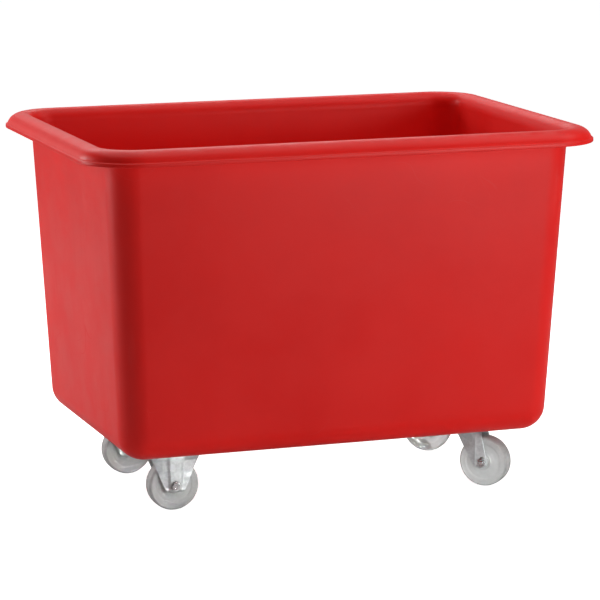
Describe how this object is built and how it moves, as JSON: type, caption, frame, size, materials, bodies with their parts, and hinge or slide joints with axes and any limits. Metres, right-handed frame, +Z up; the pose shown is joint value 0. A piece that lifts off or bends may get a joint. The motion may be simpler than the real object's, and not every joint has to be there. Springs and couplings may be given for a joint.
{
  "type": "wheeled container truck",
  "caption": "Tapered moulded tub with a rolled rim, open at the top, on fixed and swivel castors, for moving books, kit or laundry.",
  "frame": {"origin": "on the floor, under the middle of the tub", "axes": "+X along the tub towards the swivel castors, +Y across it, +Z up"},
  "size_m": [1.0292, 0.725, 0.7236],
  "materials": {
    "tub_plastic": "semi-matte moulded polyethylene, fine grain, faint scuffs",
    "wheel_plastic": "satin moulded nylon",
    "zinc_plate": "bright zinc plated pressing",
    "bright_steel": "bright zinc plated fastener"
  },
  "bodies": {
    "truck": {"tub": "tub_plastic", "bracket_fixed_right": "zinc_plate", "axle_tube_fixed_right": "bright_steel", "axle_bolt_fixed_right": "bright_steel", "axle_nut_fixed_right": "bright_steel", "bracket_fixed_left": "zinc_plate", "axle_tube_fixed_left": "bright_steel", "axle_bolt_fixed_left": "bright_steel", "axle_nut_fixed_left": "bright_steel", "top_plate_swivel_right": "zinc_plate", "bearing_swivel_right": "zinc_plate", "kingpin_swivel_right": "bright_steel", "top_plate_swivel_left": "zinc_plate", "bearing_swivel_left": "zinc_plate", "kingpin_swivel_left": "bright_steel", "castor_bolt_fixed_right_1": "bright_steel", "castor_nut_fixed_right_1": "bright_steel", "castor_bolt_fixed_right_2": "bright_steel", "castor_nut_fixed_right_2": "bright_steel", "castor_bolt_fixed_right_3": "bright_steel", "castor_nut_fixed_right_3": "bright_steel", "castor_bolt_fixed_right_4": "bright_steel", "castor_nut_fixed_right_4": "bright_steel", "castor_bolt_fixed_left_1": "bright_steel", "castor_nut_fixed_left_1": "bright_steel", "castor_bolt_fixed_left_2": "bright_steel", "castor_nut_fixed_left_2": "bright_steel", "castor_bolt_fixed_left_3": "bright_steel", "castor_nut_fixed_left_3": "bright_steel", "castor_bolt_fixed_left_4": "bright_steel", "castor_nut_fixed_left_4": "bright_steel", "castor_bolt_swivel_right_1": "bright_steel", "castor_nut_swivel_right_1": "bright_steel", "castor_bolt_swivel_right_2": "bright_steel", "castor_nut_swivel_right_2": "bright_steel", "castor_bolt_swivel_right_3": "bright_steel", "castor_nut_swivel_right_3": "bright_steel", "castor_bolt_swivel_right_4": "bright_steel", "castor_nut_swivel_right_4": "bright_steel", "castor_bolt_swivel_left_1": "bright_steel", "castor_nut_swivel_left_1": "bright_steel", "castor_bolt_swivel_left_2": "bright_steel", "castor_nut_swivel_left_2": "bright_steel", "castor_bolt_swivel_left_3": "bright_steel", "castor_nut_swivel_left_3": "bright_steel", "castor_bolt_swivel_left_4": "bright_steel", "castor_nut_swivel_left_4": "bright_steel"},
    "roller_fixed_right": {"wheel_fixed_right": "wheel_plastic"},
    "roller_fixed_left": {"wheel_fixed_left": "wheel_plastic"},
    "fork_body_right": {"fork_swivel_right": "zinc_plate", "axle_tube_swivel_right": "bright_steel", "axle_bolt_swivel_right": "bright_steel", "axle_nut_swivel_right": "bright_steel"},
    "roller_swivel_right": {"wheel_swivel_right": "wheel_plastic"},
    "fork_body_left": {"fork_swivel_left": "zinc_plate", "axle_tube_swivel_left": "bright_steel", "axle_bolt_swivel_left": "bright_steel", "axle_nut_swivel_left": "bright_steel"},
    "roller_swivel_left": {"wheel_swivel_left": "wheel_plastic"}
  },
  "joints": [
    {"name": "spin_fixed_right", "type": "hinge", "parent": "truck", "child": "roller_fixed_right", "pos_m": [-0.3045, -0.1548, 0.05], "axis": [0, 1, 0], "continuous": true},
    {"name": "spin_fixed_left", "type": "hinge", "parent": "truck", "child": "roller_fixed_left", "pos_m": [-0.3045, 0.1548, 0.05], "axis": [0, 1, 0], "continuous": true},
    {"name": "turn_swivel_right", "type": "hinge", "parent": "truck", "child": "fork_body_right", "pos_m": [0.3075, -0.1548, 0.11], "axis": [0, 0, 1], "continuous": true},
    {"name": "spin_swivel_right", "type": "hinge", "parent": "fork_body_right", "child": "roller_swivel_right", "pos_m": [0.3369, -0.18118, 0.05], "axis": [0.6678, 0.7443, 0], "continuous": true},
    {"name": "turn_swivel_left", "type": "hinge", "parent": "truck", "child": "fork_body_left", "pos_m": [0.3075, 0.1548, 0.11], "axis": [0, 0, 1], "continuous": true},
    {"name": "spin_swivel_left", "type": "hinge", "parent": "fork_body_left", "child": "roller_swivel_left", "pos_m": [0.34125, 0.13428, 0.05], "axis": [0.5195, 0.8545, 0], "continuous": true}
  ]
}
